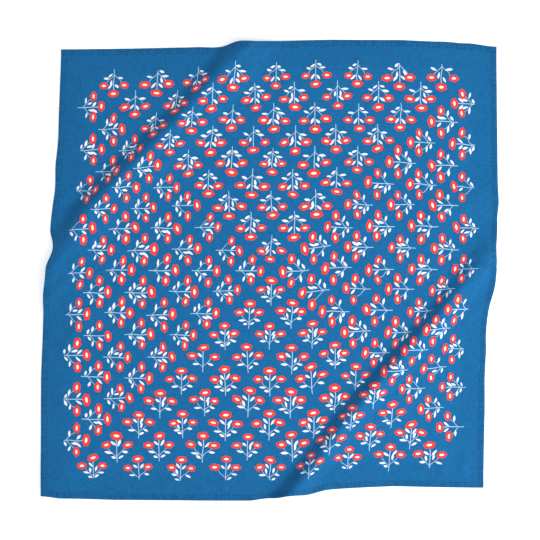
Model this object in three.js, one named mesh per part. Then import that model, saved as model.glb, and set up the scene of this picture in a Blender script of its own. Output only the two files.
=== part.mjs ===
// A square cotton bandana laid face up, with two diagonal folds left in it from unfolding.
// Millimetres, +Z up, +Y toward the upper edge, origin on the floor under the middle of the laid cloth.
import * as THREE from 'three';

// Finished size of the hemmed cloth before the folds take any of it up
const clothWidth = 557;
const clothLength = 563.5;
const panelThickness = 1;
const hemWidth = 7;
const hemThickness = 1.6;
const seamGap = 0.3;

// How far apart the points of the cloth lie
const fineStep = 5;
const coarseStep = 26;
const alongStep = 18;

// Each fold is a ridge. Its crest runs from one edge of the cloth to another, and outward points to the corner
// that it cuts off. In course, along runs 0 to 1 down the crest, bow is how far the crest strays outward from its
// straight line, and lift scales the slopes. In inner and outer, the slope in degrees is given at distances away
// from the crest, measured on the cloth, on the side of the middle and on the side of the corner. Gather is the
// share of its width that the cloth gives across the fold, because it lies on the bias there.
const folds = [
  {
    name: 'upper left',
    from: [-49.5, 263],
    to: [-255.5, 32],
    outward: [-1, 1],
    gather: 0.045,
    course: [
      { along: 0, bow: -5, lift: 0.82 },
      { along: 0.1, bow: -7, lift: 0.9 },
      { along: 0.3, bow: -6.3, lift: 0.98 },
      { along: 0.45, bow: -4.5, lift: 1 },
      { along: 0.65, bow: -0.7, lift: 1.08 },
      { along: 0.85, bow: 1.5, lift: 0.9 },
      { along: 1, bow: 0, lift: 0.6 },
    ],
    inner: [
      { away: 0, slope: 0 },
      { away: 3.5, slope: 18 },
      { away: 6.5, slope: 30 },
      { away: 12.5, slope: 29 },
      { away: 16.5, slope: 10 },
      { away: 22, slope: 6 },
      { away: 27, slope: 22 },
      { away: 33, slope: 26 },
      { away: 38, slope: 14 },
      { away: 43, slope: 5 },
      { away: 60, slope: 3 },
      { away: 82, slope: 0 },
    ],
    outer: [
      { away: 0, slope: 0 },
      { away: 3, slope: 20 },
      { away: 7, slope: 36 },
      { away: 13, slope: 46 },
      { away: 19, slope: 44 },
      { away: 24, slope: 24 },
      { away: 29, slope: 8 },
      { away: 34, slope: 0 },
    ],
  },
  {
    name: 'lower right',
    from: [273.5, 18],
    to: [24, -268],
    outward: [1, -1],
    gather: 0.1,
    course: [
      { along: 0, bow: -6, lift: 0.45 },
      { along: 0.1, bow: -4, lift: 0.62 },
      { along: 0.25, bow: -2, lift: 0.92 },
      { along: 0.5, bow: -3.6, lift: 1 },
      { along: 0.7, bow: -3, lift: 1 },
      { along: 0.88, bow: 2, lift: 1 },
      { along: 1, bow: 4, lift: 0.95 },
    ],
    inner: [
      { away: 0, slope: 0 },
      { away: 3, slope: 26 },
      { away: 6, slope: 40 },
      { away: 13, slope: 47 },
      { away: 18, slope: 43 },
      { away: 23, slope: 22 },
      { away: 29, slope: 8 },
      { away: 36, slope: 0 },
    ],
    outer: [
      { away: 0, slope: 0 },
      { away: 4, slope: 20 },
      { away: 8, slope: 28 },
      { away: 15, slope: 29 },
      { away: 20, slope: 14 },
      { away: 23, slope: 4 },
      { away: 27, slope: 4 },
      { away: 32, slope: 9 },
      { away: 38, slope: 8 },
      { away: 58, slope: 4 },
      { away: 74, slope: 2 },
      { away: 90, slope: 0 },
    ],
  },
];

// The cloth isn't quite square. Each row gives a place along an edge and how far the edge lies outward there.
const edgeDrift = {
  top: [
    { at: -278.5, out: -2.5 },
    { at: -180, out: -1.6 },
    { at: 0, out: 1 },
    { at: 60, out: 1.4 },
    { at: 150, out: 1 },
    { at: 210, out: -1 },
    { at: 240, out: -3 },
    { at: 278.5, out: -7.1 },
  ],
  bottom: [
    { at: -278.5, out: -5 },
    { at: -250, out: -2.6 },
    { at: -180, out: -0.7 },
    { at: -60, out: 0.2 },
    { at: 30, out: 0.4 },
    { at: 80, out: -5 },
    { at: 278.5, out: -2 },
  ],
  left: [
    { at: -281.75, out: 2.9 },
    { at: -160, out: 2.7 },
    { at: -60, out: 1.3 },
    { at: 100, out: -4.6 },
    { at: 180, out: -8.9 },
    { at: 281.75, out: -12.9 },
  ],
  right: [
    { at: -281.75, out: -1.5 },
    { at: -180, out: -0.2 },
    { at: -110, out: -1 },
    { at: 50, out: 3.3 },
    { at: 120, out: 0.1 },
    { at: 281.75, out: -1.2 },
  ],
};

// Short pulls at the ends of the folds: halfWidth along the edge, and reach into the cloth
const edgePulls = [
  { edge: 'left', at: 112, halfWidth: 30, out: -1.8, reach: 60 },
  { edge: 'left', at: 62, halfWidth: 28, out: 0.6, reach: 60 },
  { edge: 'left', at: 30, halfWidth: 26, out: -6.4, reach: 70 },
  { edge: 'left', at: -28, halfWidth: 26, out: 1.2, reach: 60 },
  { edge: 'right', at: 64, halfWidth: 30, out: -2.2, reach: 70 },
  { edge: 'right', at: 30, halfWidth: 32, out: -2.3, reach: 80 },
  { edge: 'right', at: 2, halfWidth: 32, out: 1.1, reach: 90 },
  { edge: 'right', at: -24, halfWidth: 32, out: 1.8, reach: 90 },
  { edge: 'right', at: -52, halfWidth: 32, out: -2.6, reach: 80 },
  { edge: 'right', at: -80, halfWidth: 32, out: -2.3, reach: 70 },
  { edge: 'bottom', at: 62, halfWidth: 26, out: 2, reach: 60 },
  { edge: 'bottom', at: 34, halfWidth: 26, out: -2.7, reach: 60 },
  { edge: 'bottom', at: 0, halfWidth: 26, out: -2.1, reach: 60 },
  { edge: 'top', at: -80, halfWidth: 30, out: -1.3, reach: 60 },
  { edge: 'top', at: -50, halfWidth: 28, out: 1.7, reach: 60 },
];

const halfWidth = clothWidth / 2;
const halfLength = clothLength / 2;
const panelRight = halfWidth - hemWidth;
const panelTop = halfLength - hemWidth;

// A value between the rows of a table, eased so that it has no kink at a row
function easedValue(table, place, value, at) {
  const first = table[0];
  const last = table[table.length - 1];
  if (at <= first[place]) return first[value];
  if (at >= last[place]) return last[value];
  const next = table.findIndex((row) => row[place] > at);
  const before = table[next - 1];
  const after = table[next];
  const share = (at - before[place]) / (after[place] - before[place]);
  return THREE.MathUtils.lerp(before[value], after[value], share * share * (3 - 2 * share));
}

// The slope of one side of a fold, in radians, straight between the rows of its table
function slopeAt(side, away) {
  const next = side.findIndex((row) => row.away > away);
  if (next < 1) return THREE.MathUtils.degToRad(next < 0 ? 0 : side[0].slope);
  const before = side[next - 1];
  const after = side[next];
  const share = (away - before.away) / (after.away - before.away);
  return THREE.MathUtils.degToRad(THREE.MathUtils.lerp(before.slope, after.slope, share));
}

// Walks down one side of a fold from its crest: how much plan width the slope takes up, and how far it drops
const walkSteps = 90;
function walkDown(side, lift, gather, stretch, distance) {
  const length = side[side.length - 1].away * stretch;
  const step = length / walkSteps;
  const walked = Math.min(distance, length);
  let takeUp = 0;
  let drop = 0;
  for (let start = 0; start < walked; start += step) {
    const piece = Math.min(step, walked - start);
    const slope = lift * slopeAt(side, (start + step / 2) / stretch);
    takeUp += (1 - (1 - gather) * Math.cos(slope)) * piece;
    drop += Math.sin(slope) * piece;
  }
  return { takeUp, drop };
}

// Moves a point of the cloth over one fold. The middle of the cloth stays, the far side of the fold comes in.
function overFold(fold, x, y) {
  const crest = new THREE.Vector2(fold.to[0] - fold.from[0], fold.to[1] - fold.from[1]);
  const crestLength = crest.length();
  crest.normalize();
  const across = new THREE.Vector2(-crest.y, crest.x);
  if (across.dot(new THREE.Vector2(...fold.outward)) < 0) across.negate();
  const reach = new THREE.Vector2(x - fold.from[0], y - fold.from[1]);
  const along = reach.dot(crest) / crestLength;
  const lift = easedValue(fold.course, 'along', 'lift', along);
  const bow = easedValue(fold.course, 'along', 'bow', along);
  const inner = walkDown(fold.inner, lift, fold.gather, 1, Infinity);
  const outerStretch = inner.drop / walkDown(fold.outer, lift, fold.gather, 1, Infinity).drop;
  const away = reach.dot(across) - bow - inner.takeUp;
  const onInner = away < 0;
  const walk = onInner
    ? walkDown(fold.inner, lift, fold.gather, 1, -away)
    : walkDown(fold.outer, lift, fold.gather, outerStretch, away);
  const shift = inner.takeUp + (onInner ? -walk.takeUp : walk.takeUp);
  return { dx: -shift * across.x, dy: -shift * across.y, z: Math.max(0, inner.drop - walk.drop) };
}

// Moves a point of the flat square by the drift and pulls of the edges
function overDrift(x, y) {
  const fromLeft = (x + halfWidth) / clothWidth;
  const fromBottom = (y + halfLength) / clothLength;
  const outAt = (edge, at) => easedValue(edgeDrift[edge], 'at', 'out', at);
  let dx = outAt('right', y) * fromLeft - outAt('left', y) * (1 - fromLeft);
  let dy = outAt('top', x) * fromBottom - outAt('bottom', x) * (1 - fromBottom);
  const edges = {
    left: { along: y, inside: x + halfWidth, outX: -1, outY: 0 },
    right: { along: y, inside: halfWidth - x, outX: 1, outY: 0 },
    top: { along: x, inside: halfLength - y, outX: 0, outY: 1 },
    bottom: { along: x, inside: y + halfLength, outX: 0, outY: -1 },
  };
  for (const pull of edgePulls) {
    const edge = edges[pull.edge];
    const spread = THREE.MathUtils.clamp((edge.along - pull.at) / pull.halfWidth, -1, 1);
    const fade = 1 - THREE.MathUtils.clamp(edge.inside / pull.reach, 0, 1);
    const amount = pull.out * Math.cos((spread * Math.PI) / 2) ** 2 * fade * fade;
    dx += amount * edge.outX;
    dy += amount * edge.outY;
  }
  return [x + dx, y + dy];
}

// Where a point of the flat square lies on the underside of the laid cloth
function layDown(x, y) {
  const [driftX, driftY] = overDrift(x, y);
  const place = new THREE.Vector3(driftX, driftY, 0);
  for (const fold of folds) {
    const { dx, dy, z } = overFold(fold, driftX, driftY);
    place.add(new THREE.Vector3(dx, dy, z));
  }
  return place;
}

// The same point, raised off the underside along the cloth's own upward direction
const probe = 0.5;
function layAt(x, y, height) {
  const place = layDown(x, y);
  if (height === 0) return place;
  const alongX = layDown(x + probe, y).sub(layDown(x - probe, y));
  const alongY = layDown(x, y + probe).sub(layDown(x, y - probe));
  return place.addScaledVector(alongX.cross(alongY).normalize(), height);
}

// A closed mesh collected point by point
class Shell {
  constructor() {
    this.points = [];
    this.faces = [];
  }

  point(place) {
    this.points.push(place.x, place.y, place.z);
    return this.points.length / 3 - 1;
  }

  face(a, b, c) {
    this.faces.push(a, b, c);
  }

  quad(a, b, c, d) {
    this.face(a, b, c);
    this.face(a, c, d);
  }

  mesh(name, material) {
    const geometry = new THREE.BufferGeometry();
    geometry.setAttribute('position', new THREE.Float32BufferAttribute(this.points, 3));
    geometry.setIndex(this.faces);
    geometry.computeVertexNormals();
    const mesh = new THREE.Mesh(geometry, material);
    mesh.name = name;
    return mesh;
  }
}

// The panel's points lie in rows that run the way the lower right fold runs, which is nearly that of the other
const [guideStart, guideEnd] = [folds[1].from, folds[1].to].map((end) => new THREE.Vector2(...end));
const rowRun = guideEnd.sub(guideStart).normalize();
const rowStep = new THREE.Vector2(-rowRun.y, rowRun.x);

// How far a point lies across the rows, counted from the cloth's middle
const acrossRows = (x, y) => x * rowStep.x + y * rowStep.y;

// The stretch across the rows over which each fold bends the cloth. Slopes take up about a quarter of a side.
const foldMargin = 12;
const takeUpShare = 0.25;
const foldStretches = folds.map((fold) => {
  const crest = acrossRows((fold.from[0] + fold.to[0]) / 2, (fold.from[1] + fold.to[1]) / 2);
  const outwardSign = Math.sign(acrossRows(...fold.outward));
  const innerReach = fold.inner[fold.inner.length - 1].away;
  const outerReach = fold.outer[fold.outer.length - 1].away + innerReach * takeUpShare;
  const ends = [crest - outwardSign * innerReach, crest + outwardSign * outerReach];
  return { low: Math.min(...ends) - foldMargin, high: Math.max(...ends) + foldMargin };
});

// Places of the rows: close together over the folds, and one exactly through each corner of the panel
function rowPlaces() {
  const corners = [
    acrossRows(-panelRight, panelTop),
    acrossRows(panelRight, panelTop),
    acrossRows(-panelRight, -panelTop),
    acrossRows(panelRight, -panelTop),
  ].sort((a, b) => a - b);
  const places = [corners[0]];
  for (const corner of corners.slice(1)) {
    let at = places[places.length - 1];
    while (at < corner) {
      const fine = foldStretches.some((stretch) => at >= stretch.low && at < stretch.high);
      at += fine ? fineStep : coarseStep;
      if (at < corner - fineStep / 2) places.push(at);
    }
    places.push(corner);
  }
  return places;
}

// The two ends of a row, where its straight line leaves the panel
function rowEnds(place) {
  const base = rowStep.clone().multiplyScalar(place);
  const xEnds = [-panelRight, panelRight].map((x) => (x - base.x) / rowRun.x).sort((a, b) => a - b);
  const yEnds = [-panelTop, panelTop].map((y) => (y - base.y) / rowRun.y).sort((a, b) => a - b);
  const start = Math.max(xEnds[0], yEnds[0]);
  const end = Math.max(start, Math.min(xEnds[1], yEnds[1]));
  return [start, end].map((run) => base.clone().addScaledVector(rowRun, run));
}

// The rows as lists of flat points, one point only where a row just touches a corner
function panelRows() {
  return rowPlaces().map((place) => {
    const [start, end] = rowEnds(place);
    const count = Math.ceil(start.distanceTo(end) / alongStep);
    if (count === 0) return [start];
    return Array.from({ length: count + 1 }, (_, index) => start.clone().lerp(end, index / count));
  });
}

// Joins two neighbouring rows with triangles, always stepping on the row that lags
function stitchRows(lower, upper, addFace) {
  let i = 0;
  let j = 0;
  while (i < lower.length - 1 || j < upper.length - 1) {
    const nextLower = lower.length > 1 ? (i + 0.5) / (lower.length - 1) : 1;
    const nextUpper = upper.length > 1 ? (j + 0.5) / (upper.length - 1) : 1;
    const stepLower = j === upper.length - 1 || (i < lower.length - 1 && nextLower < nextUpper);
    if (stepLower) {
      addFace(lower[i], lower[i + 1], upper[j]);
      i += 1;
    } else {
      addFace(lower[i], upper[j + 1], upper[j]);
      j += 1;
    }
  }
}

const flatRows = panelRows();

function buildPanel(material) {
  const shell = new Shell();
  const layer = (height) =>
    flatRows.map((row) => row.map((flat) => shell.point(layAt(flat.x, flat.y, height))));
  const under = layer(0);
  const upper = layer(panelThickness);
  for (let row = 1; row < flatRows.length; row += 1) {
    stitchRows(under[row - 1], under[row], (a, b, c) => shell.face(a, c, b));
    stitchRows(upper[row - 1], upper[row], (a, b, c) => shell.face(a, b, c));
  }
  const starts = flatRows.map((row, index) => [index, 0]);
  const ends = flatRows.map((row, index) => [index, row.length - 1]).slice(1, -1).reverse();
  const rim = [...starts, ...ends];
  rim.forEach(([row, index], place) => {
    const [nextRow, nextIndex] = rim[(place + 1) % rim.length];
    shell.quad(under[row][index], upper[row][index], upper[nextRow][nextIndex], under[nextRow][nextIndex]);
  });
  return shell.mesh('cloth_panel', material);
}

// A hem's section from its inner edge to its outer fold: out from the inner edge, and height
const hemSection = [
  { out: 0, height: 0 },
  { out: 0, height: 1.5 },
  { out: 3.2, height: hemThickness },
  { out: hemWidth - seamGap - 0.6, height: 1.4 },
  { out: hemWidth - seamGap, height: 0.7 },
  { out: hemWidth - seamGap - 0.6, height: 0 },
];

// Places along one hem: every point of the panel on that edge, and the two ends
function hemPlaces(onEdge, along, ends) {
  const rims = flatRows.flatMap((row) => [row[0], row[row.length - 1]]).filter(onEdge).map(along);
  const places = [...ends, ...rims].sort((a, b) => a - b);
  return places.filter((at, index) => index === 0 || at - places[index - 1] > seamGap / 2);
}

// Builds one hem. flatPoint turns a place along it and a distance out from the panel's edge into a flat point.
function buildHem(name, material, places, flatPoint) {
  const shell = new Shell();
  const rings = places.map((at) =>
    hemSection.map(({ out, height }) => {
      const [x, y] = flatPoint(at, seamGap + out);
      return shell.point(layAt(x, y, height));
    })
  );
  const count = hemSection.length;
  for (let ring = 1; ring < rings.length; ring += 1) {
    for (let side = 0; side < count; side += 1) {
      const next = (side + 1) % count;
      shell.quad(rings[ring - 1][side], rings[ring][side], rings[ring][next], rings[ring - 1][next]);
    }
  }
  const first = rings[0];
  const last = rings[rings.length - 1];
  for (let side = 2; side < count; side += 1) {
    shell.face(first[0], first[side - 1], first[side]);
    shell.face(last[0], last[side], last[side - 1]);
  }
  return shell.mesh(name, material);
}

const isNear = (a, b) => Math.abs(a - b) < 0.001;

function buildHems(material) {
  const across = [-halfWidth, halfWidth];
  const between = [-panelTop, panelTop];
  const topPlaces = hemPlaces((flat) => isNear(flat.y, panelTop), (flat) => flat.x, across);
  const bottomPlaces = hemPlaces((flat) => isNear(flat.y, -panelTop), (flat) => flat.x, across);
  const leftPlaces = hemPlaces((flat) => isNear(flat.x, -panelRight), (flat) => flat.y, between);
  const rightPlaces = hemPlaces((flat) => isNear(flat.x, panelRight), (flat) => flat.y, between);
  return [
    buildHem('hem_top', material, topPlaces, (at, out) => [at, panelTop + out]),
    buildHem('hem_bottom', material, bottomPlaces.reverse(), (at, out) => [at, -panelTop - out]),
    buildHem('hem_left', material, leftPlaces, (at, out) => [-panelRight - out, at]),
    buildHem('hem_right', material, rightPlaces.reverse(), (at, out) => [panelRight + out, at]),
  ];
}

const cottonBlue = new THREE.MeshStandardMaterial({ color: '#236ea8', roughness: 0.85, metalness: 0 });
const hemBlue = new THREE.MeshStandardMaterial({ color: '#1f6299', roughness: 0.88, metalness: 0 });

const bandana = new THREE.Group();
bandana.add(buildPanel(cottonBlue), ...buildHems(hemBlue));

// The laid cloth's middle goes over the origin
const middle = new THREE.Box3().setFromObject(bandana, true).getCenter(new THREE.Vector3());
bandana.position.set(-middle.x, -middle.y, 0);

export default bandana;
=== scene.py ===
# Cotton bandana with a small sprig print, laid face up with two diagonal folds left from unfolding
import math

import bpy
import numpy as np
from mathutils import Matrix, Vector
from mathutils.geometry import delaunay_2d_cdt


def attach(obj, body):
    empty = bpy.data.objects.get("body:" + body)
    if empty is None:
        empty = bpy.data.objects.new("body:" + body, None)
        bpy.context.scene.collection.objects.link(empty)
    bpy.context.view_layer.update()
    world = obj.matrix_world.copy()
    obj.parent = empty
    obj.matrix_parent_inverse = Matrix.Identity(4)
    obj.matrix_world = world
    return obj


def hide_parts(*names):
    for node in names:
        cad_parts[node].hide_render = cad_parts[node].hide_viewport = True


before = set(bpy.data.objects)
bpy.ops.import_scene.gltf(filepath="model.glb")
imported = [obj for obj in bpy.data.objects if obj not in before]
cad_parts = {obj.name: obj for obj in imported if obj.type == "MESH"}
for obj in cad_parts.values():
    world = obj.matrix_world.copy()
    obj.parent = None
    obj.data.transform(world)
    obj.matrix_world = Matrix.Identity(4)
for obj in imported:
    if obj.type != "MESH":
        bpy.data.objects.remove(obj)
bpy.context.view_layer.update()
mm = 0.001   # arrays hold millimetres, meshes hold metres

# the hemmed square before its folds take any of it up
cloth = {
    "width": 557.0,
    "length": 563.5,
    "thickness": 0.4,
    "hemWidth": 7.0,
    "reverseGrid": 2.0,   # the reverse has its points this much wider apart
    "flatGrid": 6.0,      # spacing of the points where nothing bends
    "creaseGrid": 3.0,    # near a crease
    "foldGrid": 2.4,      # over the two folds
    "hemGrid": 1.7,       # beside the hems, where the stitching puckers the cloth
    "narrowCrease": 5.0,  # creases up to this half width get rows of points of their own
    "reliefSeed": 11,
}
halfWidth = cloth["width"] / 2
halfLength = cloth["length"] / 2
panelRight = halfWidth - cloth["hemWidth"]
panelTop = halfLength - cloth["hemWidth"]

# each fold is a ridge: slopes in degrees at distances from the crest, on the middle's side and the corner's side;
# gather is the share of its width that the cloth, on the bias there, gives across the fold
folds = {
    "upperLeft": {
        "start": (-49.5, 263), "end": (-255.5, 32), "outward": (-1, 1), "gather": 0.045,
        "along": (-0.085, 0, 0.1, 0.3, 0.45, 0.65, 0.85, 1, 1.12),
        "bow": (-2, -5, -7, -6.3, -4.5, -0.7, 1.5, -3.5, -7.5),
        "lift": (0.82, 0.82, 0.9, 0.98, 1, 1.08, 0.9, 0.62, 0.62),
        "innerAway": (0, 3.5, 6.5, 12.5, 16.5, 22, 27, 33, 38, 43, 60, 82),
        "innerSlope": (0, 18, 30, 29, 10, 6, 22, 26, 14, 5, 3, 0),
        "outerAway": (0, 3, 7, 13, 19, 24, 29, 34),
        "outerSlope": (0, 20, 36, 46, 44, 24, 8, 0),
    },
    "lowerRight": {
        "start": (273.5, 18), "end": (24, -268), "outward": (1, -1), "gather": 0.1,
        "along": (0, 0.1, 0.25, 0.5, 0.7, 0.88, 1),
        "bow": (-6, -4, -2, -3.6, -3, 2, 4),
        "lift": (0.33, 0.62, 0.92, 1, 1, 1, 0.95),
        "innerAway": (0, 3, 6, 13, 18, 23, 29, 36),
        "innerSlope": (0, 26, 40, 47, 43, 22, 8, 0),
        "outerAway": (0, 4, 8, 15, 20, 23, 27, 32, 38, 58, 74, 90),
        "outerSlope": (0, 20, 28, 29, 14, 4, 4, 9, 8, 4, 2, 0),
    },
}

# how far each edge lies outward of a straight line: the cloth isn't quite square
edgeDrift = {
    "top": {"at": (-278.5, -180, 0, 60, 150, 210, 240, 278.5), "out": (-2.5, -1.6, 1, 1.4, 1, -1, -3, -7.1)},
    "bottom": {"at": (-278.5, -250, -180, -60, 30, 80, 278.5), "out": (-5, -2.6, -0.7, 0.2, 0.4, -5, -2)},
    "left": {"at": (-281.75, -160, -60, 100, 180, 281.75), "out": (2.9, 2.7, 1.3, -4.6, -8.9, -12.9)},
    "right": {"at": (-281.75, -180, -110, 50, 120, 281.75), "out": (-1.5, -0.2, -1, 3.3, 0.1, -1.2)},
}

# short pulls at the ends of the folds: edge, place along it, half width, distance outward, reach into the cloth
edgePulls = [
    ("left", 112, 30, -1.8, 60),
    ("left", 62, 28, 0.6, 60),
    ("left", 30, 26, -6.4, 70),
    ("left", -28, 26, 1.2, 60),
    ("right", 64, 30, -2.2, 70),
    ("right", 30, 32, -2.3, 80),
    ("right", 2, 32, 1.1, 90),
    ("right", -24, 32, 1.8, 90),
    ("right", -52, 32, -2.6, 80),
    ("right", -80, 32, -2.3, 70),
    ("bottom", 62, 26, 2, 60),
    ("bottom", 34, 26, -2.7, 60),
    ("bottom", 0, 26, -2.1, 60),
    ("top", -80, 30, -1.3, 60),
    ("top", -50, 28, 1.7, 60),
]

# creases, placed on the flat cloth: start, end, height, half width to the left and right of the way
creases = [
    ((-33, 306), (-43, 246), 4.6, 21.0, 9.0),       # lit swelling where the upper left fold meets the top edge
    ((-273, 256), (-224, 222), 1.3, 3.5, 5.0),      # upper left corner
    ((-262, 205), (-236, 176), 0.7, 4.0, 6.0),
    ((-281, 168), (-255, 163), 0.8, 3.5, 4.5),
    ((286, 128), (176, 36), 3.4, 24.0, 20.0),       # soft roll above the lower right fold
    ((-214, 62), (-282, -8), 2.0, 9.0, 8.0),        # the upper left fold runs on down the left margin
    ((-280, -8), (-250, 4), 1.0, 3.5, 4.0),
    ((-256, -104), (-206, -30), 1.1, 5.0, 9.0),     # left margin
    ((-281, -138), (-244, -141), 1.3, 4.0, 5.0),
    ((-279, -40), (-252, -14), 0.9, 4.0, 6.0),
    ((-272, -76), (-246, -92), 0.8, 4.0, 5.0),
    ((-262, -176), (-238, -150), 0.8, 5.0, 6.0),
    ((-226, -212), (-246, -290), 3.2, 26.0, 32.0),  # lower left corner, soft and then sharp
    ((-276, -238), (-236, -262), 1.4, 7.0, 6.0),
    ((-282, -262), (-252, -279), 1.1, 5.0, 5.0),
    ((-140, -152), (-141, -226), 0.5, 3.0, 3.0),    # faint upright lines where it was packed
    ((-139, 20), (-140, -60), 0.3, 3.0, 3.0),
    ((3, 200), (3, 118), 0.5, 3.0, 3.0),
    ((0, -138), (-1, -204), 0.5, 3.0, 3.0),
    ((142, 140), (141, 72), 0.3, 3.0, 3.0),
    ((-190, 2), (-120, 1), 0.3, 3.0, 3.0),
    ((60, -2), (140, -1), 0.3, 3.0, 3.0),
    ((254, 60), (258, -42), 3.6, 11.0, 32.0),       # swelling beside the right hem, crossed by a short crease
    ((244, 11), (288, 4), -2.6, 3.1, 3.1),
    ((262, 26), (286, 23), 0.8, 3.0, 3.0),
    ((222, -222), (226, -276), 1.5, 8.0, 6.0),      # lower right corner
    ((252, -236), (256, -268), 1.1, 6.0, 5.0),
    ((246, -120), (274, -132), 0.9, 5.0, 5.0),
    ((262, -168), (281, -196), 0.8, 4.0, 5.0),
    ((96, 262), (120, 240), 0.6, 5.0, 6.0),
    ((-96, -250), (-70, -276), 0.7, 5.0, 6.0),
]


def eased(at, places, values):
    # between the rows of a table, with no kink at a row
    places = np.asarray(places, float)
    values = np.asarray(values, float)
    row = np.clip(np.searchsorted(places, at, side="right") - 1, 0, len(places) - 2)
    share = np.clip((at - places[row]) / (places[row + 1] - places[row]), 0, 1)
    return values[row] + (values[row + 1] - values[row]) * share * share * (3 - 2 * share)


walkSteps = 90


def walkDown(away, slope, lift, gather, stretch, distance):
    # down one side of a fold from its crest: plan width taken up, and drop
    step = away[-1] * stretch / walkSteps
    takeUp = np.zeros_like(lift)
    drop = np.zeros_like(lift)
    for number in range(walkSteps):
        piece = np.clip(distance - number * step, 0, step)
        angle = lift * math.radians(np.interp((number + 0.5) / walkSteps * away[-1], away, slope))
        takeUp += (1 - (1 - gather) * np.cos(angle)) * piece
        drop += np.sin(angle) * piece
    return takeUp, drop


def acrossFold(fold, x, y):
    # place along the crest from 0 to 1, and plan distance outward from it
    start = np.array(fold["start"], float)
    crest = np.array(fold["end"], float) - start
    length = np.hypot(*crest)
    crest /= length
    across = np.array((-crest[1], crest[0]))
    if across @ np.array(fold["outward"]) < 0:
        across = -across
    along = ((x - start[0]) * crest[0] + (y - start[1]) * crest[1]) / length
    away = (x - start[0]) * across[0] + (y - start[1]) * across[1]
    return along, away - eased(along, fold["along"], fold["bow"]), across


def overFold(fold, x, y):
    # the middle of the cloth stays and the far side of the fold comes in
    along, away, across = acrossFold(fold, x, y)
    lift = eased(along, fold["along"], fold["lift"])
    inner = (fold["innerAway"], fold["innerSlope"], lift, fold["gather"])
    outer = (fold["outerAway"], fold["outerSlope"], lift, fold["gather"])
    innerTakeUp, height = walkDown(*inner, 1, np.inf)
    stretch = height / walkDown(*outer, 1, np.inf)[1]
    away = away - innerTakeUp
    innerWalk = walkDown(*inner, 1, np.maximum(-away, 0))
    outerWalk = walkDown(*outer, stretch, np.maximum(away, 0))
    shift = innerTakeUp + np.where(away < 0, -innerWalk[0], outerWalk[0])
    rise = np.maximum(height - np.where(away < 0, innerWalk[1], outerWalk[1]), 0)
    return -shift * across[0], -shift * across[1], rise


def overDrift(x, y):
    fromLeft = (x + halfWidth) / cloth["width"]
    fromBottom = (y + halfLength) / cloth["length"]
    along = {"left": y, "right": y, "top": x, "bottom": x}
    out = {name: eased(along[name], edge["at"], edge["out"]) for name, edge in edgeDrift.items()}
    dx = out["right"] * fromLeft - out["left"] * (1 - fromLeft)
    dy = out["top"] * fromBottom - out["bottom"] * (1 - fromBottom)
    edges = {
        "left": (y, x + halfWidth, -1, 0),
        "right": (y, halfWidth - x, 1, 0),
        "top": (x, halfLength - y, 0, 1),
        "bottom": (x, y + halfLength, 0, -1),
    }
    for name, at, spread, distance, reach in edgePulls:
        along, inside, outX, outY = edges[name]
        bell = np.cos(np.clip((along - at) / spread, -1, 1) * math.pi / 2) ** 2
        amount = distance * bell * (1 - np.clip(inside / reach, 0, 1)) ** 2
        dx += amount * outX
        dy += amount * outY
    return x + dx, y + dy


creaseForm = {
    "wander": 0.25,       # share of the crease's whole width
    "wanderTurn": 5.1,    # radians along its length
    "wanderShift": 1.7,   # from one crease to the next
    "crown": 0.7,         # below 1 the ridge keeps its height nearer to its ends
    "endLength": 6.0,     # how far it runs out past them
}


def creaseRise(x, y):
    # each crease is a soft ridge that fades out at both ends and wanders a little
    rise = np.zeros_like(x)
    for number, (start, end, height, left, right) in enumerate(creases):
        way = np.subtract(end, start).astype(float)
        length = np.hypot(*way)
        way /= length
        along = (x - start[0]) * way[0] + (y - start[1]) * way[1]
        turn = along / length * creaseForm["wanderTurn"] + number * creaseForm["wanderShift"]
        wander = creaseForm["wander"] * (left + right) * np.sin(turn)
        beside = (y - start[1]) * way[0] - (x - start[0]) * way[1] - wander
        share = np.clip(along / length, 0, 1)
        fade = np.sin(share * math.pi) ** creaseForm["crown"]
        ends = np.exp(-(np.maximum(np.maximum(-along, along - length), 0) / creaseForm["endLength"]) ** 2)
        spread = np.where(beside > 0, left, right)
        rise += height * fade * ends * np.exp(-(beside / spread) ** 2)
    return rise


# the cloth never lies dead flat: long low waves, and the pucker that the hem stitching draws up
relief = {
    "waves": ((95, 0.55), (62, 0.42), (38, 0.22), (24, 0.10)),   # length and height of each kind of wave
    "waveKinds": 5,       # directions of each
    "waveStretch": (0.8, 1.25),
    "pucker": 0.34,       # height
    "puckerLength": 5.4,
    "puckerReach": 9.0,   # how far it runs into the cloth from the stitching
    "puckerFade": 1.5,
    "puckerWander": ((1.6, 17, 1), (0.9, 6.3, 2)),   # turn, length, and how many times the edge's shift
    "puckerStrength": (0.65, 0.35, 23, 5),           # mean, change, length, and the same
}


def waveRise(x, y):
    rng = np.random.default_rng(cloth["reliefSeed"])
    rise = np.zeros_like(x)
    for length, height in relief["waves"]:
        for _ in range(relief["waveKinds"]):
            angle, phase = rng.uniform(0, math.tau), rng.uniform(0, math.tau)
            stretch = rng.uniform(*relief["waveStretch"])
            way = (math.cos(angle) * x + math.sin(angle) * y) * math.tau / (length * stretch)
            rise += height / relief["waveKinds"] * (1 + np.sin(way + phase))
    return rise


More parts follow.
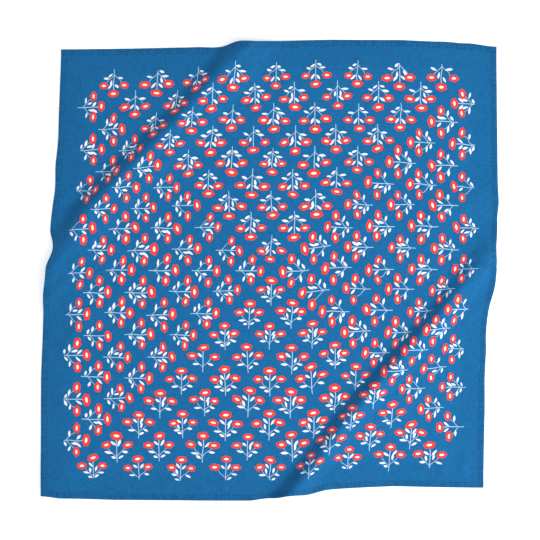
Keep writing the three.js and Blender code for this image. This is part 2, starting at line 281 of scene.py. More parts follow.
def puckerRise(x, y):
    # short ticks square to each edge, highest at the stitching
    edges = ((x, halfLength - y, 0.0), (x, y + halfLength, 1.9), (y, x + halfWidth, 3.1), (y, halfWidth - x, 4.4))
    rise = np.zeros_like(x)
    for along, inside, shift in edges:
        fromStitching = np.abs(inside - cloth["hemWidth"])
        fade = np.clip(1 - fromStitching / relief["puckerReach"], 0, 1) ** relief["puckerFade"]
        phase = along * math.tau / relief["puckerLength"]
        for turn, length, times in relief["puckerWander"]:
            phase = phase + turn * np.sin(along / length + times * shift)
        mean, change, length, times = relief["puckerStrength"]
        strength = mean + change * np.sin(along / length + times * shift)
        rise += relief["pucker"] * strength * fade * (0.5 + 0.5 * np.sin(phase))
    return rise


def layDown(flat):
    # where points of the flat square lie on the underside of the laid cloth
    x, y = overDrift(flat[:, 0], flat[:, 1])
    placeX, placeY = x.copy(), y.copy()
    rise = creaseRise(flat[:, 0], flat[:, 1]) + waveRise(flat[:, 0], flat[:, 1]) + puckerRise(flat[:, 0], flat[:, 1])
    for fold in folds.values():
        dx, dy, height = overFold(fold, x, y)
        placeX += dx
        placeY += dy
        rise += height
    return np.column_stack((placeX, placeY, rise))


def layAt(flat, height=0.0):
    # the same, raised along the cloth's own upward direction, with that direction
    probe = 0.3
    east, north = np.array((probe, 0)), np.array((0, probe))
    along = layDown(flat + east) - layDown(flat - east)
    up = layDown(flat + north) - layDown(flat - north)
    normals = np.cross(along, up)
    normals /= np.linalg.norm(normals, axis=1)[:, None]
    return layDown(flat) + normals * np.reshape(height, (-1, 1)) - middle, normals


# the laid cloth's middle goes over the origin, as in the frame
middle = np.zeros(3)
rim = np.linspace(-1, 1, 300)
side = np.ones_like(rim)
outline = np.vstack([
    np.column_stack((rim * halfWidth, side * halfLength)), np.column_stack((rim * halfWidth, -side * halfLength)),
    np.column_stack((side * halfWidth, rim * halfLength)), np.column_stack((-side * halfWidth, rim * halfLength)),
])
laidOutline = layDown(outline)
middle[:2] = (laidOutline.min(0) + laidOutline.max(0))[:2] / 2
columns, rows = np.meshgrid(np.linspace(-halfWidth, halfWidth, 280), np.linspace(-halfLength, halfLength, 280))
middle[2] = layDown(np.column_stack((columns.ravel(), rows.ravel())))[:, 2].min()   # the lowest place touches the floor
print("cloth laid out, middle at", middle.round(2))

# the print: sprigs of three blossoms in four quarters that face the middle, drawn by formula with seeded changes
sprigPrint = {
    "seed": 5,
    "rows": 9,            # one sprig in the first row, nine in the last
    "jitter": (1.6, 0.9),   # along the row and across it
    "tilt": 1.6,          # degrees
    "size": (0.92, 1.06),
    # each quarter: quarter turns from the lower one, first row's distance from the middle, row gap, pitch in a row
    "quarters": ((0, 28, 27.2, 53.4), (1, 29, 26.2, 52.0), (2, 29, 26.6, 52.4), (3, 29, 26.3, 52.6)),
}
inkCount = 5
inkGround, inkStem, inkLeaf, inkRed, inkCentre = range(inkCount)

# one sprig, its top blossom toward +y: blossoms by place and half size, branches by points, leaves by base and way
blossoms = [
    {"at": (0, 15.2), "half": (7.0, 4.5)},
    {"at": (-13.2, 4.6), "half": (6.2, 4.25)},
    {"at": (13.2, 4.8), "half": (6.2, 4.25)},
]
stem = {"points": ((0, 10.8), (0.2, 2), (0, -7), (0.1, -16)), "width": 1.05}
shortStem = {"points": ((0, 10.8), (0.2, 3), (0, -4), (0.1, -11.6)), "width": 1.05}   # in the last row
branches = [
    {"points": ((0, -9.6), (-3.8, -5.6), (-7.4, -2.8), (-9.8, 1.2)), "width": 0.72},
    {"points": ((0, -9.0), (3.4, -5.0), (7.0, -2.2), (9.8, 1.4)), "width": 0.72},
]
leaves = [
    {"base": (-1.0, 3.8), "way": 138, "length": 7.8, "chance": 0.95},
    {"base": (2.0, 2.6), "way": 53, "length": 8.6, "chance": 0.85},
    {"base": (-3.8, -3.4), "way": 104, "length": 7.4, "chance": 0.35},
    {"base": (3.4, -2.4), "way": 77, "length": 7.6, "chance": 0.45},
    {"base": (-4.2, -5.4), "way": 176, "length": 8.8, "chance": 0.95},
    {"base": (6.4, -3.8), "way": -14, "length": 7.6, "chance": 1.0},
    {"base": (-1.3, -10.8), "way": 161, "length": 6.4, "chance": 0.45},
    {"base": (1.5, -11.0), "way": 31, "length": 6.9, "chance": 0.6},
]

# how unevenly they are drawn: counts, shares of a size, millimetres of shift, and lean in radians
drawing = {
    "redPoints": 20,
    "lobes": (5, 7),              # five or six
    "lobeDepth": 0.085,
    "edgeNoise": 0.018,
    "blossomSize": (0.93, 1.1),
    "blossomSpread": (0.88, 1.12),
    "blossomShift": 0.9,
    "blossomLean": 0.13,
    "centrePoints": 10,
    "centreTaper": 0.25,
    "centreSize": (0.49, 0.34),   # of the blossom
    "leafLength": (0.88, 1.14),
    "leafHalf": (1.25, 1.7),
    "leafUnder": 0.9,             # its lower half is this much narrower
    "leafTurn": 6,                # degrees
    "leafShift": 0.6,
    "branchShift": 0.5,
    "branchRows": 7,
    "branchTip": 0.8,             # share of its width left at the tip
    "shortStems": 0.7,            # share of them in the last row
}


def turned(points, angle):
    return points @ np.array(((math.cos(angle), math.sin(angle)), (-math.sin(angle), math.cos(angle))))


def blossomShapes(blossom, rng):
    # a red oval with five or six uneven lobes, and a pointed white centre
    around = np.linspace(0, math.tau, drawing["redPoints"], endpoint=False)
    lobes = rng.integers(*drawing["lobes"])
    edge = 1 + drawing["lobeDepth"] * np.cos(lobes * around + rng.uniform(0, math.tau))
    edge += rng.normal(0, drawing["edgeNoise"], drawing["redPoints"])
    half = np.array(blossom["half"]) * rng.uniform(*drawing["blossomSize"], 2)
    at = np.array(blossom["at"]) * (rng.uniform(*drawing["blossomSpread"]), 1)
    at += rng.uniform(-1, 1, 2) * drawing["blossomShift"]
    lean = rng.normal(0, drawing["blossomLean"])
    red = turned(np.column_stack((np.cos(around), np.sin(around))) * edge[:, None] * half, lean) + at
    around = np.linspace(0, math.tau, drawing["centrePoints"], endpoint=False)
    taper = 1 - drawing["centreTaper"] * np.abs(np.cos(around)) ** 3
    half = half * drawing["centreSize"]
    centre = turned(np.column_stack((np.cos(around), np.sin(around) * taper)) * half, lean) + at
    return [(inkRed, red), (inkCentre, centre)]


def leafShape(leaf, rng):
    # narrow at its foot, widest past its middle and pointed at the tip
    share = np.array((0, 0.2, 0.45, 0.72, 1))
    wide = np.array((0.12, 0.6, 1, 0.86, 0))
    length = leaf["length"] * rng.uniform(*drawing["leafLength"])
    half = rng.uniform(*drawing["leafHalf"])
    upper = np.column_stack((share * length, wide * half))
    lower = np.column_stack((share * length, -wide * half * drawing["leafUnder"]))[:-1]
    way = math.radians(leaf["way"] + rng.normal(0, drawing["leafTurn"]))
    shift = rng.uniform(-1, 1, 2) * drawing["leafShift"]
    return (inkLeaf, turned(np.vstack((lower, upper[::-1])), way) + leaf["base"] + shift)


def branchShape(branch, rng):
    # a strip round a smooth line through the branch's points, tapering a little to its tip
    points = np.array(branch["points"], float)
    points[1:-1] += rng.uniform(-1, 1, (len(points) - 2, 2)) * drawing["branchShift"]
    share = np.linspace(0, 1, drawing["branchRows"])
    rows = np.linspace(0, 1, len(points))
    line = np.column_stack([np.polyval(np.polyfit(rows, points[:, axis], 3), share) for axis in (0, 1)])
    way = np.gradient(line, axis=0)
    way /= np.linalg.norm(way, axis=1)[:, None]
    half = branch["width"] / 2 * np.linspace(1, drawing["branchTip"], drawing["branchRows"])
    beside = np.column_stack((-way[:, 1], way[:, 0])) * half[:, None]
    return (inkStem, np.vstack((line - beside, (line + beside)[::-1])))


def sprigShapes(rng, mainStem):
    shapes = [branchShape(branch, rng) for branch in (mainStem, *branches)]
    shapes += [leafShape(leaf, rng) for leaf in leaves if rng.random() < leaf["chance"]]
    for blossom in blossoms:
        shapes += blossomShapes(blossom, rng)
    return shapes


def drawPrint():
    # each quarter is a triangle of rows that widen outward
    rng = np.random.default_rng(sprigPrint["seed"])
    shapes = []
    for quarterTurns, firstRow, rowGap, pitch in sprigPrint["quarters"]:
        for row in range(sprigPrint["rows"]):
            for column in range(row + 1):
                at = np.array(((column - row / 2) * pitch, -firstRow - row * rowGap))
                at += rng.uniform(-1, 1, 2) * sprigPrint["jitter"]
                tilt = math.radians(rng.normal(0, sprigPrint["tilt"]))
                size = rng.uniform(*sprigPrint["size"])
                lastRow = row == sprigPrint["rows"] - 1
                mainStem = shortStem if lastRow and rng.random() < drawing["shortStems"] else stem
                for ink, points in sprigShapes(rng, mainStem):
                    shapes.append((ink, turned(turned(points * size, tilt) + at, quarterTurns * math.pi / 2)))
    return shapes


shapes = drawPrint()
blossomCount = sum(1 for ink, _ in shapes if ink == inkCentre)
print("sprigs", blossomCount // len(blossoms), "outline points", sum(len(points) for _, points in shapes))

# the flat panel: a grid that is finer near folds, creases and hems, with the print's outlines set into it
fineReach = {
    "foldInner": 14.0,     # a fold's inner side is fine up to this far short of its end
    "foldOuter": 8.0,      # and its outer side up to this far past its end
    "creaseEnds": 8.0,     # past both ends of a crease
    "creaseSides": 2.4,    # half widths of it to each side
    "creaseWidest": 12.0,  # wider ones bend little enough for the plain grid
    "hem": 0.8,            # share of the pucker's reach
    "rowStep": 2.4,        # along a narrow crease
    "rowSides": 1.2,       # half widths of it to each side
    "rows": 7,
    "rimGap": 0.6,         # the rows stay this far from the panel's edge
}


def gridPoints(coarser):
    def grid(step):
        step *= coarser
        x = np.arange(-panelRight + step * 0.5, panelRight - step * 0.3, step)
        y = np.arange(-panelTop + step * 0.5, panelTop - step * 0.3, step)
        x, y = np.meshgrid(x, y)
        x[1::2] += step * 0.5   # staggered rows give even triangles
        keep = x < panelRight - step * 0.3
        return np.column_stack((x[keep], y[keep]))

    def nearFold(points):
        near = np.zeros(len(points), bool)
        for fold in folds.values():
            _, away, _ = acrossFold(fold, points[:, 0], points[:, 1])
            near |= (away > fineReach["foldInner"] - fold["innerAway"][-1])\
                & (away < fineReach["foldOuter"] + fold["outerAway"][-1])
        return near

    def nearCrease(points):
        near = np.zeros(len(points), bool)
        for start, end, _, left, right in creases:
            way = np.subtract(end, start).astype(float)
            length = np.hypot(*way)
            way /= length
            offset = points - np.array(start, float)
            along, beside = offset @ way, offset @ np.array((-way[1], way[0]))
            widest, ends = max(left, right), fineReach["creaseEnds"]
            if widest < fineReach["creaseWidest"]:
                inLength = (along > -ends) & (along < length + ends)
                near |= inLength & (np.abs(beside) < fineReach["creaseSides"] * widest)
        return near

    def nearHem(points):
        inside = np.minimum(panelRight - np.abs(points[:, 0]), panelTop - np.abs(points[:, 1]))
        return inside < relief["puckerReach"] * fineReach["hem"]

    def besideCreases():
        # rows of points along each narrow crease, so that its two sides show
        rows = []
        for start, end, _, left, right in creases:
            if max(left, right) > cloth["narrowCrease"]:
                continue
            way = np.subtract(end, start).astype(float)
            length = np.hypot(*way)
            way /= length
            steps = np.arange(0, length, fineReach["rowStep"])
            sides = np.linspace(-fineReach["rowSides"] * right, fineReach["rowSides"] * left, fineReach["rows"])
            along, beside = np.meshgrid(steps, sides)
            rows.append(np.array(start) + np.outer(along.ravel(), way) + np.outer(beside.ravel(), (-way[1], way[0])))
        points = np.vstack(rows)
        gap = fineReach["rimGap"]
        return points[(np.abs(points[:, 0]) < panelRight - gap) & (np.abs(points[:, 1]) < panelTop - gap)]

    hemming = grid(cloth["hemGrid"])
    hemming = hemming[nearHem(hemming)]
    folding = grid(cloth["foldGrid"])
    folding = folding[nearFold(folding) & ~nearHem(folding)]
    creasing = grid(cloth["creaseGrid"])
    creasing = creasing[nearCrease(creasing) & ~nearFold(creasing) & ~nearHem(creasing)]
    flat = grid(cloth["flatGrid"])
    flat = flat[~nearCrease(flat) & ~nearFold(flat) & ~nearHem(flat)]
    return np.vstack((hemming, folding, creasing, flat, besideCreases()))


def rimPoints():
    # round the panel's edge, one corner to the next
    across = np.linspace(-panelRight, panelRight, int(2 * panelRight / cloth["hemGrid"]) + 1)
    upward = np.linspace(-panelTop, panelTop, int(2 * panelTop / cloth["hemGrid"]) + 1)
    return np.vstack((
        np.column_stack((across[:-1], np.full(len(across) - 1, -panelTop))),
        np.column_stack((np.full(len(upward) - 1, panelRight), upward[:-1])),
        np.column_stack((across[:0:-1], np.full(len(across) - 1, panelTop))),
        np.column_stack((np.full(len(upward) - 1, -panelRight), upward[:0:-1])),
    ))


def flatPanel(coarser):
    # triangles of the flat panel, each with its ink, and the points round the edge in order
    rimLine = rimPoints()
    points = [rimLine, gridPoints(coarser)]
    count = len(points[0]) + len(points[1])
    edges = [(number, (number + 1) % len(rimLine)) for number in range(len(rimLine))]
    faces, inks = [], []
    for ink, outlinePoints in shapes:
        if coarser > 1 and ink != inkCentre:
            outlinePoints = outlinePoints[::2]
        faces.append(list(range(count, count + len(outlinePoints))))
        inks.append(ink)
        points.append(outlinePoints)
        count += len(outlinePoints)
    # all of the area as triangles, with points nearer than the last length made one, and what each came from
    made = delaunay_2d_cdt([Vector(point) for point in np.vstack(points).tolist()], edges, faces, 0, 1e-4, True)
    flat = np.array([tuple(point) for point in made[0]])
    triangles = np.array(made[2], int)
    ink = np.array([max((inks[face] for face in owners), default=inkGround) for owners in made[5]], float)
    outputOf = {source: number for number, sources in enumerate(made[3]) for source in sources}
    rimLoop = np.array([outputOf[number] for number in range(len(rimLine))])
    corners = flat[triangles]
    turnedOver = np.cross(corners[:, 1] - corners[:, 0], corners[:, 2] - corners[:, 0]) < 0
    triangles[turnedOver] = triangles[turnedOver][:, ::-1]
    return flat, triangles, ink, rimLoop


def newMesh(name, verts, faces, normals=None):
    mesh = bpy.data.meshes.new(name)
    mesh.from_pydata((np.asarray(verts) * mm).tolist(), [], [list(map(int, face)) for face in faces])
    mesh.update()
    mesh.shade_smooth()
    if normals is not None:
        mesh.normals_split_custom_set_from_vertices(np.asarray(normals).tolist())
    piece = bpy.data.objects.new(name, mesh)
    bpy.context.scene.collection.objects.link(piece)
    return piece


def clothPlaces(mesh, places):
    # flat cloth places as a UV map in metres, for the weave
    loops = np.zeros(len(mesh.loops), int)
    mesh.loops.foreach_get("vertex_index", loops)
    mesh.uv_layers.new(name="clothPlace").data.foreach_set("uv", (places[loops] * mm).ravel())
    return loops


# the parts of the bake map: share of its width, and place of the lower left corner
bakeMap = {"face": (0.8, 0.005), "reverse": (0.17, 0.82), "rim": (0.808, 0.001)}


def makePanel():
    face, faceTriangles, faceInk, faceRim = flatPanel(1)
    reverse, reverseTriangles, reverseInk, reverseRim = flatPanel(cloth["reverseGrid"])
    over, normals = layAt(face, cloth["thickness"])
    under, underNormals = layAt(reverse)
    count = len(face)
    nextFace, nextReverse = np.roll(faceRim, -1), np.roll(reverseRim, -1)
    rimFaces = np.column_stack((faceRim, reverseRim + count, nextReverse + count, nextFace))
    faces = faceTriangles.tolist() + (reverseTriangles[:, ::-1] + count).tolist() + rimFaces.tolist()
    piece = newMesh("printedPanel", np.vstack((over, under)), faces, np.vstack((normals, -underNormals)))
    mesh = piece.data
    none = np.zeros(len(rimFaces))
    ink = np.concatenate((faceInk, reverseInk, none))
    isReverse = np.concatenate((0 * faceInk, 0 * reverseInk + 1, none))
    mesh.attributes.new("ink", "FLOAT", "FACE").data.foreach_set("value", ink)
    mesh.attributes.new("reverse", "FLOAT", "FACE").data.foreach_set("value", isReverse)
    # a bake map with the face large, the reverse small beside it and the edge as a frame round the face
    places = np.vstack((face, reverse))
    loops = clothPlaces(mesh, places)
    onReverse = loops >= count
    square = places[loops] / (2 * panelTop)
    size, corner = bakeMap["reverse"]
    uv = (square * (-1, 1) + 0.5) * size + corner
    size, corner = bakeMap["face"]
    uv = np.where(onReverse[:, None], uv, (square + 0.5) * size + corner)
    onRim = onReverse.copy()
    onRim[:3 * (len(faceTriangles) + len(reverseTriangles))] = False
    size, corner = bakeMap["rim"]
    uv[onRim] = ((square + 0.5) * size + corner)[onRim]
    mesh.uv_layers.new(name="OFBake").data.foreach_set("uv", uv.ravel())
    print("panel triangles", len(faceTriangles), len(reverseTriangles), 2 * len(rimFaces))
    return piece


panel = makePanel()

# a hem's section from the panel's edge over the turned layers to the outer fold and back under, out and height
hem = {
    "step": 1.5,
    "out": (0.0, 0.6, 2.6, 4.0, 5.2, 6.2, 6.8, 7.0, 6.8, 6.0, 3.0, 0.0),
    "height": (0.4, 0.42, 0.88, 1.04, 1.06, 0.96, 0.77, 0.5, 0.22, 0.02, 0.0, 0.0),
}


def makeHem(name, start, end, outward):
    # start and end are corners of the panel's edge on this side, or of the whole cloth
    start, end, outward = (np.array(value, float) for value in (start, end, outward))
    count = int(np.hypot(*(end - start)) / hem["step"])
    line = start + (end - start) * np.linspace(0, 1, count + 1)[:, None]
    out, height = np.array(hem["out"]), np.array(hem["height"])
    flat = (line[:, None, :] + outward * out[None, :, None]).reshape(-1, 2)
    verts, _ = layAt(flat, np.tile(height, len(line)))
    ring = len(out)
    first = np.arange(ring)
    follow = np.roll(first, -1)
    faces = []
    for number in range(count):
        low, high = number * ring, (number + 1) * ring
        faces += np.column_stack((low + first, low + follow, high + follow, high + first)).tolist()
    faces += [list(range(ring))[::-1], list(range(count * ring, (count + 1) * ring))]
    piece = newMesh(name, verts, faces)
    piece.data.set_sharp_from_angle(angle=math.radians(60))
    clothPlaces(piece.data, flat)
    return piece


hems = {
    "hem_top": makeHem("turnedHemTop", (halfWidth, panelTop), (-halfWidth, panelTop), (0, 1)),
    "hem_bottom": makeHem("turnedHemBottom", (-halfWidth, -panelTop), (halfWidth, -panelTop), (0, -1)),
    "hem_left": makeHem("turnedHemLeft", (-panelRight, panelTop), (-panelRight, -panelTop), (-1, 0)),
    "hem_right": makeHem("turnedHemRight", (panelRight, -panelTop), (panelRight, panelTop), (1, 0)),
}
print("hems turned")

# lockstitch along each hem
stitching = {
    "pitch": 2.6,
    "length": 2.2,
    "width": 0.36,
    "height": 0.26,
    "out": 1.4,       # from the panel's edge
    "lift": 0.64,     # up on the turned layers
    "jitter": 0.07,
    "seed": 3,
}


def makeStitch():
    bpy.ops.object.select_all(action="DESELECT")
    bpy.ops.mesh.primitive_uv_sphere_add(segments=8, ring_count=6, radius=0.5, location=(0, 0, 0))
    stitch = bpy.context.object
    stitch.name = "oneStitch"
    bpy.ops.object.mode_set(mode="EDIT")
    bpy.ops.mesh.select_all(action="SELECT")
    bpy.ops.transform.rotate(value=math.pi / 2, orient_axis="Y", center_override=(0, 0, 0))
    bpy.ops.transform.resize(value=(stitching["length"], stitching["width"], stitching["height"]))
    bpy.ops.object.mode_set(mode="OBJECT")
    return stitch


def sewHems():
    stitch = makeStitch()
    shape = np.array([tuple(vert.co) for vert in stitch.data.vertices])
    stitchFaces = [list(face.vertices) for face in stitch.data.polygons]
    bpy.data.objects.remove(stitch)
    rng = np.random.default_rng(stitching["seed"])
    right, top = panelRight + stitching["out"], panelTop + stitching["out"]
    corners = [(-right, -top), (right, -top), (right, top), (-right, top)]
    verts, faces = [], []
    for start, end in zip(corners, corners[1:] + corners[:1]):
        start, end = np.array(start), np.array(end)
        count = int(np.hypot(*(end - start)) / stitching["pitch"])
        way = (end - start) / np.hypot(*(end - start))
        flat = start + (end - start) * ((np.arange(count) + 0.5) / count)[:, None]
        flat += rng.normal(0, stitching["jitter"], flat.shape)
        at, up = layAt(flat, stitching["lift"])
        ahead, _ = layAt(flat + way * 0.5, stitching["lift"])
        along = ahead - at
        along /= np.linalg.norm(along, axis=1)[:, None]
        across = np.cross(up, along)
        for place, x, y, z in zip(at, along, across, up):
            faces += [[number + len(verts) * len(shape) for number in face] for face in stitchFaces]
            verts.append(place + shape @ np.array((x, y, z)))
    piece = newMesh("hemStitching", np.vstack(verts), faces)
    print("stitches", len(verts))
    return piece


stitches = sewHems()


# materials
def linear(hexColour):
    channels = [int(hexColour[place:place + 2], 16) / 255 for place in (1, 3, 5)]
    return tuple(c / 12.92 if c <= 0.04045 else ((c + 0.055) / 1.055) ** 2.4 for c in channels) + (1,)


def addNode(tree, kind, settings=None, links=None):
    node = tree.nodes.new(kind)
    for name, value in (settings or {}).items():
        if hasattr(node, str(name)):
            setattr(node, name, value)
        else:
            node.inputs[name].default_value = value
    for name, source in (links or {}).items():
        tree.links.new(source, node.inputs[name])
    return node


def newMaterial(name):
    material = bpy.data.materials.new(name)
    material.use_nodes = True
    material.node_tree.nodes.clear()
    return material, material.node_tree


# plain-weave cotton, about 0.42 mm between threads: matt, with a faint slub in both directions
cotton = {
    "ground": "#1b69a0",
    "stem": "#b6d5ea",
    "white": "#fafaff",
    "red": "#ff4432",
    "threadSpacing": 0.42 * mm,
    "slubWidth": 1.3 * mm,     # thick places in the yarn, drawn three threads wide to show
    "slubLength": 9 * mm,
    "fleckSize": 1.9 * mm,     # drawn four threads wide for the same reason
    "groundChange": 0.25,
    "blotchSize": 8 * mm,
    "blotchChange": 0.03,
    "marginShade": 0.935,      # drawn a little darker towards the edge, in the unprinted margin
    "marginFrom": 24 * mm,     # in from the cloth's edge
    "marginTo": 44 * mm,
    "hemShade": 0.87,          # two turns of cloth let less light through
    "hemLineShade": 0.93,      # darker along the hem's inner edge, where the layers shade each other
    "panelLineWidth": 2.6 * mm,
    "turnLineWidth": 1.7 * mm,
    "tickShade": 0.84,         # and in the puckers across the hem
    "tickWidth": 2.4 * mm,
    "tickLength": 19.2 * mm,
    "tickEdges": (0.40, 0.52),   # noise values between which a tick fades
    "reverse": "#9dbcd6",
    "reversePaleness": 0.28,
    "showThrough": 0.3,        # of the print on the reverse
    "roughness": 0.86,
}
waveBands = 0.314   # distance between the bands of a wave texture whose scale is 1


def clothMaterial(name, printed, shade=1.0, hemAxis=None):
    # hemAxis is the UV axis that runs square to a hem
    material, tree = newMaterial(name)
    place = addNode(tree, "ShaderNodeUVMap", {"uv_map": "clothPlace"}).outputs[0]
    sides = addNode(tree, "ShaderNodeVectorMath", {"operation": "ABSOLUTE"}, {0: place}).outputs[0]
    sides = addNode(tree, "ShaderNodeSeparateXYZ", {}, {0: sides}).outputs

    # slubs along the warp and the weft, and flecks, added up
    grains = []
    for width, length in ((cotton["slubWidth"], cotton["slubLength"]), (cotton["slubLength"], cotton["slubWidth"]),
                          (cotton["fleckSize"], cotton["fleckSize"])):
        spot = addNode(tree, "ShaderNodeMapping", {"Scale": (1 / width, 1 / length, 1)}, {"Vector": place}).outputs[0]
        noise = {"Scale": 1.0, "Detail": 2.0, "Roughness": 0.6}
        grains.append(addNode(tree, "ShaderNodeTexNoise", noise, {"Vector": spot}).outputs[0])
    slubs = addNode(tree, "ShaderNodeMath", {"operation": "ADD"}, {0: grains[0], 1: grains[1]}).outputs[0]
    mottle = addNode(tree, "ShaderNodeMath", {"operation": "ADD"}, {0: slubs, 1: grains[2]}).outputs[0]
    change = addNode(tree, "ShaderNodeMapRange", {
        "From Min": 1.0, "From Max": 2.0,
        "To Min": shade * (1 - cotton["groundChange"]), "To Max": shade * (1 + cotton["groundChange"]),
    }, {"Value": mottle}).outputs[0]

    # soft blotches of the dye
    dye = {"Scale": 1 / cotton["blotchSize"], "Detail": 1.0}
    dye = addNode(tree, "ShaderNodeTexNoise", dye, {"Vector": place}).outputs[0]
    dye = addNode(tree, "ShaderNodeMapRange", {
        "From Min": 0.3, "From Max": 0.7, "To Min": 1 - cotton["blotchChange"], "To Max": 1 + cotton["blotchChange"],
    }, {"Value": dye}).outputs[0]
    change = addNode(tree, "ShaderNodeMath", {"operation": "MULTIPLY"}, {0: change, 1: dye}).outputs[0]

    # shading by the edges: a value, where it starts and ends, and the shade at its start
    if hemAxis is None:
        insides = [
            addNode(tree, "ShaderNodeMath", {"operation": "SUBTRACT", 0: half * mm}, {1: side}).outputs[0]
            for half, side in ((halfWidth, sides[0]), (halfLength, sides[1]))
        ]
        inside = addNode(tree, "ShaderNodeMath", {"operation": "MINIMUM"}, {0: insides[0], 1: insides[1]}).outputs[0]
        hemLine = cloth["hemWidth"] * mm
        fades = [
            (inside, cotton["marginFrom"], cotton["marginTo"], cotton["marginShade"]),
            (inside, hemLine, hemLine + cotton["panelLineWidth"], cotton["hemLineShade"]),
        ]
    else:
        hemLine = (panelRight, panelTop)[hemAxis] * mm
        stretch = [1 / cotton["tickLength"], 1 / cotton["tickLength"], 1]
        stretch[1 - hemAxis] = 1 / cotton["tickWidth"]
        ticks = addNode(tree, "ShaderNodeMapping", {"Scale": stretch}, {"Vector": place}).outputs[0]
        ticks = addNode(tree, "ShaderNodeTexNoise", {"Scale": 1.0, "Detail": 1.0}, {"Vector": ticks}).outputs[0]
        fades = [
            (ticks, *cotton["tickEdges"], cotton["tickShade"]),
            (sides[hemAxis], hemLine, hemLine + cotton["turnLineWidth"], cotton["hemLineShade"]),
        ]
    for value, start, end, low in fades:
        fade = addNode(tree, "ShaderNodeMapRange", {
            "interpolation_type": "SMOOTHSTEP", "From Min": start, "From Max": end, "To Min": low, "To Max": 1.0,
        }, {"Value": value}).outputs[0]
        change = addNode(tree, "ShaderNodeMath", {"operation": "MULTIPLY"}, {0: change, 1: fade}).outputs[0]

    colour = addNode(tree, "ShaderNodeRGB").outputs[0]
    colour.default_value = linear(cotton["ground"])
    if printed:
        ink = addNode(tree, "ShaderNodeAttribute", {"attribute_name": "ink"}).outputs["Fac"]
        share = addNode(tree, "ShaderNodeMath", {"operation": "DIVIDE", 1: float(inkCount)}, {0: ink}).outputs[0]
        ramp = addNode(tree, "ShaderNodeValToRGB", {}, {0: share})
        ramp.color_ramp.interpolation = "CONSTANT"
        stops = [(inkGround, "ground"), (inkStem, "stem"), (inkLeaf, "white"), (inkRed, "red"), (inkCentre, "white")]
        for number, (inkKind, colourName) in enumerate(stops):
            at = inkKind / inkCount
            stop = ramp.color_ramp.elements[number] if number < 2 else ramp.color_ramp.elements.new(at)
            stop.position = max(at - 0.1, 0)   # half a step lower, so that each ink falls well inside its stop
            stop.color = linear(cotton[colourName])
        onReverse = addNode(tree, "ShaderNodeAttribute", {"attribute_name": "reverse"}).outputs["Fac"]
        blend = {"data_type": "RGBA", 0: cotton["showThrough"]}
        ghost = addNode(tree, "ShaderNodeMix", blend, {6: colour, 7: ramp.outputs[0]}).outputs[2]
        blend = {"data_type": "RGBA", 0: cotton["reversePaleness"], 7: linear(cotton["reverse"])}
        pale = addNode(tree, "ShaderNodeMix", blend, {6: ghost}).outputs[2]
        blend = {0: onReverse, 6: ramp.outputs[0], 7: pale}
        colour = addNode(tree, "ShaderNodeMix", {"data_type": "RGBA"}, blend).outputs[2]
    mottled = addNode(tree, "ShaderNodeVectorMath", {"operation": "SCALE"}, {0: colour, "Scale": change}).outputs[0]

    # threads over and under, too fine to show singly in the whole view and left at their real spacing
    waves = [
        addNode(tree, "ShaderNodeTexWave", {
            "bands_direction": way, "Scale": waveBands / cotton["threadSpacing"], "Distortion": 0.6, "Detail": 1.0,
        }, {"Vector": place}).outputs[1]
        for way in ("X", "Y")
    ]
    threads = addNode(tree, "ShaderNodeMath", {"operation": "MULTIPLY"}, {0: waves[0], 1: waves[1]}).outputs[0]
    bump = {"Strength": 0.25, "Distance": 0.06 * mm}
    threadBump = addNode(tree, "ShaderNodeBump", bump, {"Height": threads}).outputs[0]
    bump = {"Strength": 0.5, "Distance": 0.10 * mm}
    slubBump = addNode(tree, "ShaderNodeBump", bump, {"Height": mottle, "Normal": threadBump}).outputs[0]
    cottonShader = addNode(tree, "ShaderNodeBsdfPrincipled", {
        "Roughness": cotton["roughness"], "IOR": 1.46, "Specular IOR Level": 0.08,
        "Sheen Weight": 0.04, "Sheen Roughness": 0.5,
    }, {"Base Color": mottled, "Normal": slubBump})
    addNode(tree, "ShaderNodeOutputMaterial", {}, {"Surface": cottonShader.outputs[0]})
    return material


sewingThread = {"dark": "#1c6098", "light": "#2a72aa", "twist": 0.3 * mm}


def threadMaterial():
    # spun polyester sewing thread, dyed to match: a little glossier than the cloth, with the twist as fine ridges
    material, tree = newMaterial("spunSewingThread")
    place = addNode(tree, "ShaderNodeTexCoord").outputs["Object"]
    twist = addNode(tree, "ShaderNodeTexWave", {
        "bands_direction": "DIAGONAL", "Scale": waveBands / sewingThread["twist"], "Distortion": 1.0,
    }, {"Vector": place}).outputs[1]
    tint = addNode(tree, "ShaderNodeMix", {
        "data_type": "RGBA", 6: linear(sewingThread["dark"]), 7: linear(sewingThread["light"]),
    }, {0: twist}).outputs[2]
    bump = addNode(tree, "ShaderNodeBump", {"Strength": 0.4, "Distance": 0.05 * mm}, {"Height": twist}).outputs[0]
    gloss = {"Roughness": 0.6, "Sheen Weight": 0.1}
    shader = addNode(tree, "ShaderNodeBsdfPrincipled", gloss, {"Base Color": tint, "Normal": bump})
    addNode(tree, "ShaderNodeOutputMaterial", {}, {"Surface": shader.outputs[0]})
    return material


panel.data.materials.append(clothMaterial("screenPrintedCotton", True))
levelHem = clothMaterial("turnedHemCotton", False, cotton["hemShade"], 1)
uprightHem = clothMaterial("turnedHemCottonUpright", False, cotton["hemShade"], 0)
for node, piece in hems.items():
    piece.data.materials.append(levelHem if node in ("hem_top", "hem_bottom") else uprightHem)
stitches.data.materials.append(threadMaterial())
print("materials made")

# each piece stands for its solid and rides the one body
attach(panel, "root")
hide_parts("cloth_panel")
for node, piece in hems.items():
    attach(piece, "root")
    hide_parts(node)
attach(stitches, "root")

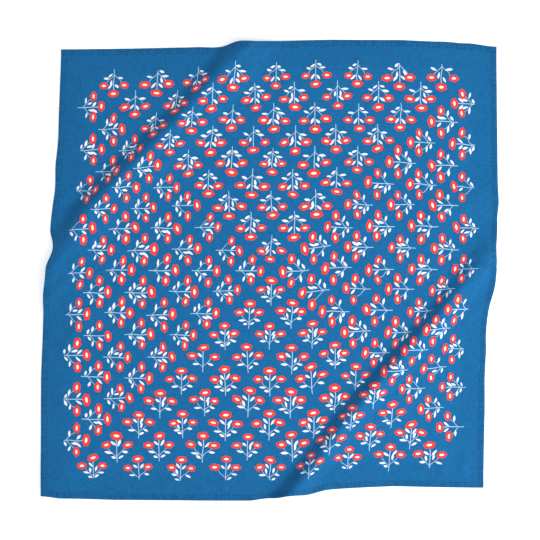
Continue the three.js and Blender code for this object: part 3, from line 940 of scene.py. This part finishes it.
# plain pale floor, soft studio light from the right and a little from below, and the camera straight above
studio = {
    "floorSize": 12,
    "floorDrop": 0.05 * mm,       # just under the cloth
    "floorColour": "#fdfdfd",
    "floorGrain": "#fafafa",
    "floorGlow": 0.4,             # lit from below too, so that the cloth's shadow stays faint
    "cameraHeight": 1900 * mm,
    "viewWidth": 662.3 * mm,
    "viewMiddle": (0.414 * mm, 0.313 * mm),
    "keyFrom": (0.94, -0.34),     # toward the light, in plan
    "keyRise": 41,                # degrees
    "keyDistance": 2.1,
    "keySize": 0.55,
    "keyPower": 32,
    "skyStrength": 0.67,
}


def makeStage():
    bpy.ops.object.select_all(action="DESELECT")
    bpy.ops.mesh.primitive_plane_add(size=studio["floorSize"], location=(0, 0, -studio["floorDrop"]))
    floor = bpy.context.object
    floor.name = "paleFloor"
    # matt white paint: an even pale ground with hardly any grain
    material, tree = newMaterial("paintedFloor")
    grain = addNode(tree, "ShaderNodeTexNoise", {"Scale": 40.0, "Detail": 2.0})
    tint = addNode(tree, "ShaderNodeMix", {
        "data_type": "RGBA", 6: linear(studio["floorColour"]), 7: linear(studio["floorGrain"]),
    }, {0: grain.outputs[0]})
    shader = addNode(tree, "ShaderNodeBsdfPrincipled", {
        "Roughness": 0.9, "Specular IOR Level": 0.1,
        "Emission Color": linear("#ffffff"), "Emission Strength": studio["floorGlow"],
    }, {"Base Color": tint.outputs[2]})
    addNode(tree, "ShaderNodeOutputMaterial", {}, {"Surface": shader.outputs[0]})
    floor.data.materials.append(material)

    plan = Vector((*studio["keyFrom"], 0)).normalized()
    rise = math.radians(studio["keyRise"])
    at = (plan * math.cos(rise) + Vector((0, 0, math.sin(rise)))) * studio["keyDistance"]
    bpy.ops.object.light_add(type="AREA", location=at)
    key = bpy.context.object
    key.name = "keyLight"
    key.data.size = studio["keySize"]
    key.data.energy = studio["keyPower"]
    key.rotation_euler = (-at).to_track_quat("-Z", "Y").to_euler()

    world = bpy.data.worlds.new("softSky")
    bpy.context.scene.world = world
    world.use_nodes = True
    sky = world.node_tree.nodes["Background"]
    sky.inputs["Color"].default_value = linear("#fafcff")
    sky.inputs["Strength"].default_value = studio["skyStrength"]

    bpy.ops.object.camera_add(location=(*studio["viewMiddle"], studio["cameraHeight"]), rotation=(0, 0, 0))
    camera = bpy.context.object
    camera.name = "overheadCamera"
    camera.data.lens = camera.data.sensor_width * studio["cameraHeight"] / studio["viewWidth"]
    camera.data.clip_start = 0.01
    bpy.context.scene.camera = camera
    bpy.context.scene.view_settings.view_transform = "Standard"


makeStage()
print("stage set")
